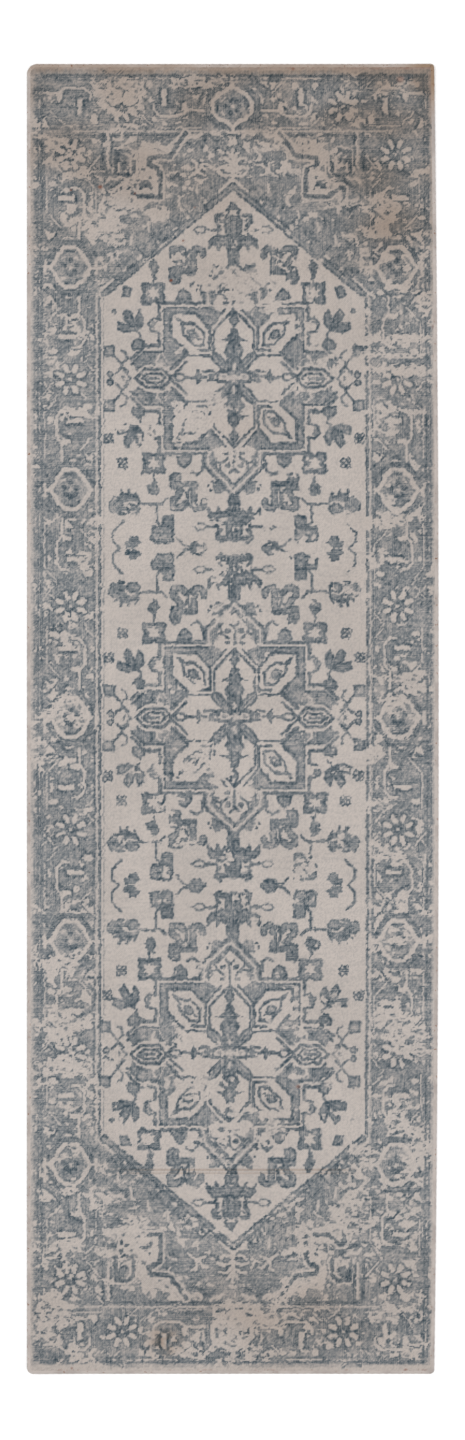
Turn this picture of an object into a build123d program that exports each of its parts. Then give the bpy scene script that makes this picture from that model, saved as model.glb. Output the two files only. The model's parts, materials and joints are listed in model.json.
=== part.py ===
"""Runner rug, 2 ft 6 in by 8 ft: a low-pile woven rug with a backed ground cloth and serged edges.

Frame, in millimetres: +Y along the length, +X across, +Z up out of the face. The origin is on the
floor, at the middle of the rug's footprint. From the floor up, the body is a backing cloth, a latex
coat, a woven ground and a pile face. The ground alone reaches into the edges, where yarn is wrapped
round it: over a cord along the two sides, and over the bare ground at the two ends. A woven tape
reinforces each end from below.
"""

from build123d import *
import math
import os

# Driving dimensions of the whole rug
LENGTH = 2438.0
WIDTH = 766.0  # at the widest place, which is half way along
SIDE_BOW = 8.5  # the right side bulges this far past the line between its corners
CORNER_RADIUS = {"head_left": 19.0, "head_right": 7.0, "foot_left": 12.0, "foot_right": 8.0}

# Layers of the body, from the floor up
BACKING_THICK = 1.0
LATEX_THICK = 1.0
GROUND_THICK = 1.2
PILE_THICK = 2.8

# Serged edge: yarn wrapped in a C round the edge of the ground
SERGING_REACH = 5.0  # from the outer edge inwards
SERGING_HEIGHT = 5.4
SERGING_WALL = 0.9
CORD_RADIUS = 1.4
CORD_CLEAR = 0.05  # between the cord and the yarn round it

# Gaps between neighbouring pieces
EDGE_GAP = 0.3
GROUND_GAP = 0.15

# End tape under each end
TAPE_WIDTH = 22.0

# Care label, sewn flat under the foot end
LABEL_WIDTH = 45.0
LABEL_LENGTH = 60.0
LABEL_THICK = 0.3
LABEL_FROM_SIDE = 60.0
LABEL_FROM_END = 70.0
LABEL_GAP = 0.1  # round the label in the dent that it has pressed into the backing

# Worked out from the above
HALF_LENGTH = LENGTH / 2
HALF_WIDTH = WIDTH / 2
BOW_RADIUS = (HALF_LENGTH**2 + SIDE_BOW**2) / (2 * SIDE_BOW)
BOW_CENTRE_X = HALF_WIDTH - BOW_RADIUS
LATEX_Z = BACKING_THICK
GROUND_Z = LATEX_Z + LATEX_THICK
PILE_Z = GROUND_Z + GROUND_THICK
ROUND_RADIUS = SERGING_HEIGHT / 2  # of the serging's outer edge
HOLLOW_RADIUS = ROUND_RADIUS - SERGING_WALL
CORD_INSET = ROUND_RADIUS - (HOLLOW_RADIUS - CORD_RADIUS - CORD_CLEAR)
BODY_INSET = SERGING_REACH + EDGE_GAP
GROUND_SIDE_INSET = CORD_INSET + CORD_RADIUS + GROUND_GAP
GROUND_END_INSET = ROUND_RADIUS - HOLLOW_RADIUS + 2 * GROUND_GAP + 0.4
TAPE_INNER_INSET = BODY_INSET + TAPE_WIDTH


def right_side_x(y, inset):
    """Where the bowed right side lies at y, moved in by inset."""
    return BOW_CENTRE_X + math.sqrt((BOW_RADIUS - inset) ** 2 - y**2)


def plan(side_inset, end_inset, rounded=True):
    """The rug's outline seen from above, as a face, moved in from its sides and ends."""
    left = -HALF_WIDTH + side_inset
    end = HALF_LENGTH - end_inset
    right = right_side_x(end, side_inset)
    sides = [
        Line((left, -end), (left, end)),
        Line((left, end), (right, end)),
        ThreePointArc((right, end), (HALF_WIDTH - side_inset, 0), (right, -end)),
        Line((right, -end), (left, -end)),
    ]
    face = make_face(Curve() + sides)
    if not rounded:
        return face
    for corner, radius in CORNER_RADIUS.items():
        x = left if corner.endswith("left") else right
        y = end if corner.startswith("head") else -end
        vertex = face.vertices().sort_by_distance((x, y))[0]
        face = fillet(vertex, radius - side_inset) if radius > side_inset + 0.5 else face
    return face


def slab(face, low, thick):
    """A flat layer of that plan, from the height low up."""
    return extrude(Pos(0, 0, low) * face, amount=thick)


def edge_wires():
    """The outer edge in four runs: each side with the corners at its ends, and each end between them."""
    edges = plan(0, 0).face().outer_wire().edges()
    runs = {"left": [], "right": [], "head": [], "foot": []}
    for edge in edges:
        middle = edge.position_at(0.5)
        at_end = abs(middle.Y) > HALF_LENGTH - 0.01
        if at_end:
            runs["head" if middle.Y > 0 else "foot"].append(edge)
        else:
            runs["left" if middle.X < 0 else "right"].append(edge)
    return {name: Wire(found) for name, found in runs.items()}


def section_plane(wire):
    """A plane across the start of a wire: its x axis points out of the rug, and its y axis up."""
    start, along = wire.position_at(0), wire.tangent_at(0)
    outward = along.cross(Vector(0, 0, 1))
    probe = start + outward
    inside = abs(probe.X) < abs(start.X) if abs(outward.X) > 0.7 else abs(probe.Y) < abs(start.Y)
    outward = -outward if inside else outward
    return Plane(origin=start, x_dir=outward, z_dir=outward.cross(Vector(0, 0, 1)))


def serging_section():
    """A C that opens into the rug, with a round outer edge."""
    run = Pos(-ROUND_RADIUS - SERGING_REACH / 2, ROUND_RADIUS)
    round_middle = Pos(-ROUND_RADIUS, ROUND_RADIUS)
    whole = run * Rectangle(SERGING_REACH, 2 * ROUND_RADIUS) + round_middle * Circle(ROUND_RADIUS)
    hollow = run * Rectangle(SERGING_REACH, 2 * HOLLOW_RADIUS) + round_middle * Circle(HOLLOW_RADIUS)
    reach = Pos(-SERGING_REACH / 2, ROUND_RADIUS) * Rectangle(SERGING_REACH, 2 * ROUND_RADIUS)
    return (whole - hollow) & reach


def serging(wire):
    """The yarn wrapped along one run of the edge."""
    return sweep(section_plane(wire) * serging_section(), path=wire)


def side_cord(wire):
    """The cord inside a side's serging, along the straight run between its corners."""
    run = Wire([max(wire.edges(), key=lambda edge: edge.length)])
    section = Pos(-CORD_INSET, ROUND_RADIUS) * Circle(CORD_RADIUS)
    return sweep(section_plane(run) * section, path=run)


def body_layers():
    """The four cloth layers, as closed slabs face to face."""
    body = plan(BODY_INSET, BODY_INSET)
    ground = plan(GROUND_SIDE_INSET, GROUND_END_INSET)
    backing = slab(plan(BODY_INSET, TAPE_INNER_INSET + EDGE_GAP, rounded=False), 0, BACKING_THICK)
    return {
        "backing_cloth": backing - label_block(LABEL_GAP),
        "latex_coat": slab(body, LATEX_Z, LATEX_THICK),
        "ground_weave": slab(ground, GROUND_Z, GROUND_THICK),
        "pile_face": slab(body, PILE_Z, PILE_THICK),
    }


def label_block(grown=0.0):
    """The care label, or with grown, the dent that it lies in."""
    x = HALF_WIDTH - LABEL_FROM_SIDE - LABEL_LENGTH / 2
    y = -HALF_LENGTH + LABEL_FROM_END + LABEL_WIDTH / 2
    outline = Pos(x, y) * Rectangle(LABEL_LENGTH + 2 * grown, LABEL_WIDTH + 2 * grown)
    return slab(outline, 0, LABEL_THICK)


def end_tape(direction):
    """The woven tape under one end: direction is 1 at the head and -1 at the foot."""
    y = direction * (HALF_LENGTH - BODY_INSET - TAPE_WIDTH / 2)
    strip = plan(BODY_INSET, BODY_INSET) & (Pos(0, y) * Rectangle(WIDTH, TAPE_WIDTH))
    return slab(strip, 0, BACKING_THICK)


def rug_parts():
    """Every piece of the rug, by its node name."""
    runs = edge_wires()
    parts = body_layers()
    for name, wire in runs.items():
        parts[f"serging_{name}"] = serging(wire)
    for name in ("left", "right"):
        parts[f"side_cord_{name}"] = side_cord(runs[name])
    for name, direction in (("head", 1), ("foot", -1)):
        parts[f"end_tape_{name}"] = end_tape(direction)
    parts["care_label"] = label_block()
    return parts


os.makedirs("parts", exist_ok=True)
for node, shape in rug_parts().items():
    export_step(shape, f"parts/{node}.step")
    box = shape.bounding_box()
    print(node, "solids", len(shape.solids()), "from", box.min, "to", box.max)
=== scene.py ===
import json
import math

import bpy
import numpy as np
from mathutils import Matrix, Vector

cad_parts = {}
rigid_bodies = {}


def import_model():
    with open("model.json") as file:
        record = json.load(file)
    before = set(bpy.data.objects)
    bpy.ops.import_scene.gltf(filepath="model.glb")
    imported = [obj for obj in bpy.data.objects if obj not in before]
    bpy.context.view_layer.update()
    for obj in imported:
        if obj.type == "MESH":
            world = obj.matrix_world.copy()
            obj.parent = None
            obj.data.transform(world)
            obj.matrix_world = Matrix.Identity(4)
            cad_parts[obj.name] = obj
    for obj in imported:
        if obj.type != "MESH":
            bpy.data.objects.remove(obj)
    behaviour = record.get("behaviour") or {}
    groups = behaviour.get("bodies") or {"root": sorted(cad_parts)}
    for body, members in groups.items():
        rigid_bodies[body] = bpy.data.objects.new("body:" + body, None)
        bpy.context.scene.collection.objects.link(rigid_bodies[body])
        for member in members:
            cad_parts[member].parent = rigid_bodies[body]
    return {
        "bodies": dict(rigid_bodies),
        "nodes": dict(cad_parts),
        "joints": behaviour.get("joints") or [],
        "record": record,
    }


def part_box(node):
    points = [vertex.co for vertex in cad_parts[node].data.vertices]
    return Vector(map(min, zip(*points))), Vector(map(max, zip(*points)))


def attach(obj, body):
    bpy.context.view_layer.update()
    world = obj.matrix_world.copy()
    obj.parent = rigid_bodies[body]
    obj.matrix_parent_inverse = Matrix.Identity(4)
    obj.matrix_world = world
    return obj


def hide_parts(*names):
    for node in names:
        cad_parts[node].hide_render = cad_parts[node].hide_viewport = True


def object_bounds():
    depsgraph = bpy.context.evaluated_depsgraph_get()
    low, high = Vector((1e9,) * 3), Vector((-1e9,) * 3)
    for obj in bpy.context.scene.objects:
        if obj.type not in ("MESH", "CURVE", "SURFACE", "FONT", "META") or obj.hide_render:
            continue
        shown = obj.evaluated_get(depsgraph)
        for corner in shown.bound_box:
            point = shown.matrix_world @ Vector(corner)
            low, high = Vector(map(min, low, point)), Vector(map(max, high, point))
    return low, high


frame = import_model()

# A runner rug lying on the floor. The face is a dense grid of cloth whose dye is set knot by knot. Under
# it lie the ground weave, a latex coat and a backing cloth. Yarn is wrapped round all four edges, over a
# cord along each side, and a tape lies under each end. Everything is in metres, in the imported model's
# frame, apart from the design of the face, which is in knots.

CAD_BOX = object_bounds()
BODY = "root"
KNOT = 0.002  # between neighbouring knots of the face
AXIS_X = 0.0033  # the pattern's middle line lies this far right of the rug's
LIGHT = 1.26  # how bright the studio is: a surface of this much less than white shows white


# ---------------------------------------------------------------- outline and height

LOW, HIGH = CAD_BOX
HALF_WIDTH = HIGH.x
HALF_LENGTH = HIGH.y
FACE_LOW, FACE_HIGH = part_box("pile_face")
BODY_INSET = FACE_LOW.x - LOW.x
SIDE_BOW = HALF_WIDTH - BODY_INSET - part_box("end_tape_head")[1].x
BOW_RADIUS = (HALF_LENGTH**2 + SIDE_BOW**2) / (2 * SIDE_BOW)
CORNERS = {(-1, 1): 0.019, (1, 1): 0.007, (-1, -1): 0.012, (1, -1): 0.008}
SERGING_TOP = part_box("serging_left")[1].z
WAVE_HEIGHT = 0.0007  # of the slow waves all over the rug
RIPPLE_HEIGHT = 0.0009  # of the shorter ripples along its edges
CURL_HEIGHT = 0.0013  # of its corners, more or less


def side_x(y, side, inset):
    """Where a long edge lies at y: side is -1 for the straight left one, 1 for the bowed right one."""
    y = np.asarray(y, float)
    if side < 0:
        return np.full_like(y, -HALF_WIDTH + inset)
    return HALF_WIDTH - BOW_RADIUS + np.sqrt((BOW_RADIUS - inset) ** 2 - y**2)


def lift(x, y):
    """How far the cloth stands off the floor: slow, slight waves, and corners that curl a little."""
    x, y = np.asarray(x, float), np.asarray(y, float)
    wave = 0.5 + 0.5 * np.sin(5.1 * y + 2.3 * x + 0.7) * np.cos(3.3 * x - 1.9 * y + 0.4)
    to_side = np.clip(np.abs(x) / HALF_WIDTH, 0, 1)
    to_end = np.clip(np.abs(y) / HALF_LENGTH, 0, 1)
    ripple = 0.5 + 0.5 * np.sin(9.0 * y + 4.0 * np.sign(x))
    curl = to_side**10 * to_end**30 * (1.4 + np.sign(x) * np.sign(y))
    return WAVE_HEIGHT * wave + RIPPLE_HEIGHT * (to_side**6 + to_end**40) * ripple + CURL_HEIGHT * curl


# ---------------------------------------------------------------- the design, knot by knot

# Tones of dye, from none to the most. BLUE fills the motifs, and GROUND is the plain blue between them.
CREAM, PALE, BLUE, GROUND, DARK = 0.0, 0.2, 0.44, 0.47, 0.93
SOFT_EDGE = 0.7  # a line fades out over this many knots beyond its width


class Loom:
    """The rug's design as tones of dye, one to a knot.

    Positions are in knots from the middle of the pattern, x to the right and y towards the head. Each
    mark is made once at every place of the current list.
    """

    def __init__(self, columns, rows):
        self.x = (np.linspace(FACE_LOW.x, FACE_HIGH.x, columns + 1) - AXIS_X) / KNOT
        self.y = np.linspace(FACE_LOW.y, FACE_HIGH.y, rows + 1) / KNOT
        self.tone = np.zeros((rows + 1, columns + 1))
        self.places = [place()]

    def at(self, *places):
        """Sets where the marks that follow are made."""
        self.places = places
        return self

    def window(self, points, reach):
        """The part of the cloth around some points."""
        low, high = points.min(0) - reach, points.max(0) + reach
        i0, i1 = np.searchsorted(self.x, (low[0], high[0]))
        j0, j1 = np.searchsorted(self.y, (low[1], high[1]))
        return slice(j0, j1), slice(i0, i1), self.x[None, i0:i1], self.y[j0:j1, None]

    def line(self, points, width=1.8, tone=DARK, closed=False):
        """A line along the points."""
        for matrix, middle in self.places:
            placed = np.asarray(points, float) @ matrix + middle
            rows, columns, x, y = self.window(placed, width)
            near = np.full((y.shape[0], x.shape[1]), 1e9)
            ends = np.roll(placed, -1, 0) if closed else placed[1:]
            for (ax, ay), (bx, by) in zip(placed, ends):
                dx, dy = bx - ax, by - ay
                along = ((x - ax) * dx + (y - ay) * dy) / max(dx * dx + dy * dy, 1e-9)
                along = np.clip(along, 0, 1)
                near = np.minimum(near, np.hypot(x - ax - along * dx, y - ay - along * dy))
            self.paint(rows, columns, np.clip(width / 2 + SOFT_EDGE - near, 0, 1), tone)

    def fill(self, points, tone=BLUE):
        """A filled shape."""
        for matrix, middle in self.places:
            placed = np.asarray(points, float) @ matrix + middle
            rows, columns, x, y = self.window(placed, 1)
            inside = np.zeros((y.shape[0], x.shape[1]), bool)
            for (ax, ay), (bx, by) in zip(placed, np.roll(placed, -1, 0)):
                if abs(ay - by) > 1e-9:
                    inside ^= ((ay > y) != (by > y)) & (x < ax + (y - ay) * (bx - ax) / (by - ay))
            self.paint(rows, columns, inside, tone)

    def paint(self, rows, columns, cover, tone):
        """Brings a window of the cloth to a tone, as far as the cover goes from 0 to 1."""
        area = self.tone[rows, columns]
        self.tone[rows, columns] = area + (tone - area) * cover

    def box(self, x0, y0, x1, y1, tone=BLUE):
        """A filled rectangle."""
        self.fill([(x0, y0), (x1, y0), (x1, y1), (x0, y1)], tone)

    def spot(self, x, y, across, up=None, tone=DARK):
        """A round or oval spot."""
        up = across if up is None else up
        turn = np.linspace(0, 2 * math.pi, 13)[:-1]
        self.fill(np.column_stack((x + across / 2 * np.cos(turn), y + up / 2 * np.sin(turn))), tone)

    def shape(self, points, tone=BLUE, edge=1.6):
        """A filled shape with a dark outline."""
        self.fill(points, tone)
        self.line(points, edge, DARK, closed=True)

    def ribbon(self, points, width=5, tone=BLUE):
        """A band with dark edges."""
        self.line(points, width, DARK)
        self.line(points, width - 2.6, tone)

    def vine(self, points, width=2.0):
        """A cream line between thin dark ones."""
        self.line(points, width + 2.0, 0.78)
        self.line(points, width, CREAM)

    def beads(self, points, width=1.8, step=4.0, tone=DARK):
        """A dotted line."""
        points = np.asarray(points, float)
        for start, end in zip(points[:-1], points[1:]):
            count = max(1, int(np.hypot(*(end - start)) / step))
            for i in range(count):
                a = start + (end - start) * (i + 0.15) / count
                b = start + (end - start) * (i + 0.75) / count
                self.line([a, b], width, tone)


def place(x=0, y=0, flip_x=1, flip_y=1, quarter=0):
    """Where a motif goes: its middle, its flips, and then how many quarter turns it makes."""
    turn = np.linalg.matrix_power(np.array([[0, 1], [-1, 0]]), quarter)
    return np.diag((flip_x, flip_y)) @ turn, np.array((x, y), float)


def both(x=0, y=0, flip_y=1):
    """Places on the two sides of the pattern's middle line."""
    return place(x, y, 1, flip_y), place(-x, y, -1, flip_y)


def four(x, y):
    """A place mirrored to all four sides of a motif's middle."""
    return [place(x, y, i, j) for i in (1, -1) for j in (1, -1)]


def polar(reach, turn):
    """The point that far from the middle, in that direction."""
    return reach * math.cos(turn), reach * math.sin(turn)


def turned(half):
    """A closed outline from one half of it: the other half is the same, turned half round."""
    return half + [(-x, -y) for x, y in half]


# The layout of the pattern, in knots from its middle
MEDALLIONS = ((0, 317), (0, 1), (-4, -312))
BETWEEN = ((0, 159), (-1, -155))
FIELD_HALF = 121
BORDER_MIDDLE = 152.5
END_MIDDLE = 574
APEX = {1: 496, -1: -491}
GABLE_SLOPE = 0.83
SIDE_ENDS = {-1: 187, 1: 184}  # where the dyed ground stops towards each long edge
END_LOW, END_HIGH = -597, 600  # and towards the two ends


def grounds(loom):
    """The blue of the borders and of the corners beyond the two gables, round the cream field."""
    for side, end in SIDE_ENDS.items():
        loom.at(place(0, 0, side))
        loom.box(FIELD_HALF, END_LOW - 4, end + 2, END_HIGH + 4, PALE)
        loom.box(FIELD_HALF, END_LOW, end, END_HIGH, GROUND)
    loom.at(place())
    half = FIELD_HALF + 1
    for way, apex in APEX.items():
        drop = apex - way * FIELD_HALF * GABLE_SLOPE
        loom.fill([(-half, drop), (0, apex), (half, drop), (half, way * 599), (-half, way * 599)], GROUND)
        loom.box(-half, way * 599, half, way * 603.5, PALE)


def gable(loom, way):
    """The band that ends the field, and the blue lobes between cream fingers along its outside."""
    apex = APEX[way]
    foot = apex - way * FIELD_HALF * GABLE_SLOPE
    loom.at(*(place(0, apex, side, way) for side in (1, -1)))
    end = (FIELD_HALF, way * (foot - apex))
    loom.line([(0, 1), (end[0], end[1] + 1)], 10.5, CREAM)
    loom.line([(0, 0), end], 6.4, DARK)
    loom.line([(0, 0), end], 2.6, 0.45)
    lobe = [(-7, 1), (-9, -3), (-3, -8), (0, -10), (7, -2), (9, 5), (4, 8), (-2, 6)]
    for x, size in ((20, 1.0), (35, 1.25), (49, 0.85), (64, 1.15), (79, 1.3), (96, 0.9), (108, 0.8)):
        centre = np.array((x + 3, 12 - x * GABLE_SLOPE))
        loom.line(centre + np.array([(11, -1), (10, 6)]) * size, 2.2, CREAM)
        loom.fill(np.array(lobe) * size + centre, BLUE)
        loom.line(np.array(lobe[:5]) * size + centre, 1.7, 0.85)
        loom.line(centre + np.array([(-5, 4), (-1, 1), (1, -4)]) * size, 1.2, 0.85)


def medallion(loom, x, y):
    """A stepped star: a petal in each quarter, a stem up and down, and an arrowed arm to each side."""
    loom.at(*four(x, y))
    frame(loom)
    petal(loom)
    arm(loom)
    outside(loom)
    pendant(loom)
    loom.at(place(x, y), place(x, y, 1, -1))
    column(loom)
    loom.at(place(x, y), place(x, y, -1, 1))
    crossbar(loom)
    square_flowers(loom, x, y)


def frame(loom):
    """A quarter of the medallion's frame: a dark band, a cream gap, and blue that fills two corners."""
    loom.line([(28, 80), (28, 70), (69.5, 70), (69.5, 55)], 2.8, 0.82)
    loom.line([(69.5, 42), (69.5, 30.5), (84, 30.5)], 2.8, 0.82)
    band = [(22, 68), (9, 60), (21, 47), (34, 61), (58, 61), (58, 39)]
    band += [(55, 35), (44, 24), (59, 10), (65, 21), (65, 66), (26, 66)]
    loom.fill(band)
    loom.line([(24, 65.5), (65, 65.5), (65, 24)], 1.4)
    loom.line([(35, 60.5), (58.5, 60.5), (58.5, 39), (43.5, 24.5), (59, 9)], 2.3)
    loom.line([(35, 60.5), (24, 48)], 2.3)
    loom.line([(8, 63), (21, 48)], 2.4)
    loom.line([(0, 70), (20, 47)], 1.4, CREAM)
    loom.line([(0, 64), (19, 44.5), (19, 23)], 1.9)
    loom.line([(22.5, 47), (22.5, 26), (34, 26)], 2.3)
    loom.line([(21, 21.5), (43, 21.5), (56, 8)], 1.6)
    loom.line([(44, 19), (57, 6)], 1.4, CREAM)


def petal(loom):
    """The drop in a quarter's petal: a line round, a tip, and a blue seed."""
    drop = [(52, 54), (45, 51), (37, 51), (28, 42), (28, 31), (37, 31), (47, 41), (48, 49)]
    loom.line(drop, 1.9, closed=True)
    loom.fill([(48, 51), (52, 52), (55, 57), (50, 56)], 0.8)
    loom.shape([(35, 42), (38, 45), (43, 44), (42, 39), (37, 37), (34, 39)], 0.45, 1.5)
    loom.spot(32.5, 36.5, 2.6)
    bud = [(4, 10), (13, 21), (19, 24), (21, 20), (18, 15), (8, 6)]
    loom.fill(bud, 0.3)
    loom.line(bud, 2)
    loom.line([(8, 10), (17, 20)], 1.3, 0.7)


def arm(loom):
    """Half of an arm: an arrow of nested lines, and the blue and cream steps over it."""
    loom.fill([(67, 23), (84, 23), (94, 13), (90, 9), (84, 12), (72, 13), (60, 11)], 0.5)
    loom.line([(66, 24.5), (84, 24.5), (95.5, 13)], 1.9)
    loom.line([(77, 22), (77, 14), (84, 13), (90, 8)], 1.5)
    loom.line([(84, 29.5), (96, 17.5)], 2.6, 0.82)
    loom.line([(67, 13), (72, 13), (72, 18), (69, 21)], 1.8, CREAM)
    loom.line([(60, 4), (65, 10.6), (84, 10.2), (94.5, 0)], 1.5, CREAM)
    loom.line([(60, 2), (66, 8.6), (83, 8.2), (92, 0)], 2.4)
    loom.line([(64, 0), (68, 4.4), (80, 4.4), (85.5, 0)], 2)
    loom.fill([(69, -1.6), (81, -1.6), (83, 0), (81, 1.6), (69, 1.6)], 0.62)
    loom.line([(44, 15), (60, 0)], 2)
    loom.line([(99, 6), (104, 11), (110, 5)], 2)
    loom.line([(96, 0), (103, 7)], 1.2, 0.6)
    loom.spot(103, 1, 3, 3, 0.5)
    loom.spot(115.5, 3.8, 7, 7)
    loom.spot(115.5, 3.8, 3.4, 3.4, 0.4)


def outside(loom):
    """What grows from a quarter's frame: curls, a sprig of three lobes, and a square leaf far out."""
    loom.line([(70, 55), (75, 56), (80, 51), (77, 44), (72, 43)], 1.9)
    loom.fill([(72, 54), (77, 53), (78, 48), (75, 45)], 0.5)
    loom.shape([(85, 28), (94, 27), (95, 32), (90, 37), (84, 34)], 0.5, 1.7)
    loom.line([(88, 36), (87, 41), (92, 46)], 1.6)
    loom.shape([(90, 45), (85, 51), (85, 58), (89, 63), (91, 56)], 0.6, 1.6)
    loom.shape([(91, 46), (94, 57), (99, 64), (103, 60), (100, 53)], 0.6, 1.6)
    loom.shape([(92, 45), (100, 50), (108, 52), (109, 46), (101, 43)], 0.6, 1.6)
    loom.shape([(112, 21), (121, 21), (121, 30), (112, 30)], 0.42, 1.7)
    loom.line([(112, 22), (104, 12)], 1.5)
    loom.line([(105, 13), (100, 18), (101, 24), (105, 26)], 1.5, 0.75)
    loom.shape([(40, 73), (41, 78), (46, 83), (51, 80), (53, 73)], 0.5, 1.7)
    loom.line([(30, 78), (30, 86), (35, 90), (40, 87)], 2.1, 0.8)


def pendant(loom):
    """A side of the point above the frame: blue between a dark and a cream line, and a sprig in it."""
    loom.fill([(27, 70), (27, 82), (1, 108), (1, 99), (18, 82), (15, 74), (21, 69)])
    loom.line([(28, 70), (28, 82), (1, 109)], 1.8)
    loom.line([(24, 69), (24, 81), (1, 104)], 1.5, CREAM)
    loom.line([(20, 69), (20, 79), (0, 99)], 1.4, 0.8)
    loom.line([(6, 74), (12, 79), (14, 86)], 1.8, 0.8)
    loom.line([(12, 79), (17, 78)], 1.6, 0.8)
    loom.spot(6, 81, 6, 5, 0.75)
    loom.spot(7, 70, 6, 4, 0.7)


def column(loom):
    """The stem up from the middle: a vase, an arrow-shaped flower and a bud."""
    loom.shape([(-4, 32), (-8, 26), (-5, 20), (-7, 13), (7, 13), (5, 20), (8, 26), (4, 32)], 0.5, 2.4)
    loom.line([(-3, 20), (3, 20)], 1.4)
    loom.line([(0, 13), (0, 30)], 1.4)
    arrow = [(-13, 35), (-6, 38), (-3, 46), (3, 46), (6, 38), (13, 35), (6, 34), (3, 30), (-3, 30)]
    loom.fill(arrow + [(-6, 34)], 0.85)
    loom.fill([(-3, 36), (0, 43), (3, 36)], 0.5)
    loom.shape([(-4, 54), (0, 61), (4, 54), (0, 48)], 0.5, 1.8)
    loom.line([(0, 49), (0, 44)], 2)
    loom.fill([(-5, 13), (-5, -3), (5, -3), (5, 13)], 0.4)
    loom.line([(-5, 14), (-5, 4)], 2.4)
    loom.line([(5, 14), (5, 4)], 2.4)
    loom.line([(0, 14), (0, 3)], 1.6, CREAM)
    loom.line([(0, 68), (0, 84)], 2, 0.8)
    loom.line([(-4, 88), (0, 84), (4, 88)], 1.8, 0.8)


def crossbar(loom):
    """The stem to one side of the middle: a box, a ring, a star and a bud."""
    loom.line([(4, 6), (15, 6), (15, -3), (4, -3)], 2.4)
    loom.line([(0, 6), (5, 10)], 2)
    loom.line([(0, -5), (5, -9)], 2)
    loom.line([(0, 1), (14, 1)], 2, CREAM)
    loom.spot(0, 1, 5, 5, 0.1)
    loom.spot(9.5, 1.5, 5, 4, 0.35)
    loom.line([(15, 3), (21, 7), (28, 6)], 2)
    loom.line([(15, -2), (24, -2)], 1.8)
    loom.spot(21, 2, 7, 5, 0.55)
    loom.fill([(30, 3), (34, 9), (36, 3), (40, 1), (36, -1), (34, -6), (31, -1), (27, 1)], 0.85)
    loom.line([(38, 1), (45, 1)], 2.4)
    loom.line([(26, 1), (30, 1)], 2)
    loom.line([(45, 1), (48, 4), (53, 4), (56, 1), (53, -2), (48, -2), (45, 1)], 1.6)


def square_flowers(loom, x, y):
    """The open square flowers on the frame's corners."""
    loom.at(*four(x, y))
    square_flower(loom, 75, 79)


def quatrefoil(loom, x, y):
    """A small flower of four rings."""
    for dx, dy in ((-2.4, -2.4), (-2.4, 2.4), (2.4, -2.4), (2.4, 2.4)):
        loom.spot(x + dx, y + dy, 5.6, 5.6)
        loom.spot(x + dx, y + dy, 2.2, 2.2, 0.1)


def square_flower(loom, x, y):
    """An open square flower with a star in it, and a feather bud on a stem above."""
    rim = turned([(-10, 9), (-4, 9), (0, 7), (4, 9), (10, 9), (10, 3), (8, 0), (10, -4)])
    loom.shape(np.array(rim) + (x, y), 0.55, 2)
    star = [polar(6.5 if i % 2 else 3.5, i * math.pi / 6) for i in range(12)]
    loom.fill(np.array(star) + (x, y), CREAM)
    loom.line([(x, y + 9), (x, y + 19)], 1.4, 0.85)
    loom.fill(np.array([(-2, 17), (-5, 24), (-3, 31), (1, 31), (4, 25), (2, 17)]) + (x, y), 0.72)
    loom.line([(x - 5, y + 24), (x, y + 21), (x + 4, y + 25)], 1.2, 0.9)


def horn(loom):
    """A ram's horn scroll on its foot. Its places put the stem side at x 0 and its head up."""
    foot = [(35, -12), (35, -8), (47, -8), (51, -5), (59, -6), (60, -17), (57, -21), (50, -20), (50, -12)]
    loom.shape(foot, 0.5, 1.7)
    loom.line([(52, -8), (55, -11), (55, -17)], 1.4)
    loom.ribbon([(28.5, 5), (28.5, 9), (32, 11.5), (36, 11.5), (37.5, 8), (37.5, -8)], 6)
    loom.line([(41, 11), (43, 6), (43, -3), (41, -7)], 1.5)
    loom.ribbon([(46, 8), (49, 11.5), (57, 11.5), (57, 4), (53, 1), (50, -4)], 6)
    loom.line([(45, 9), (44, 0), (46, -4)], 1.5)
    loom.beads([(35, -9.5), (49, -9.5)], 1.2, 4)


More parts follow.
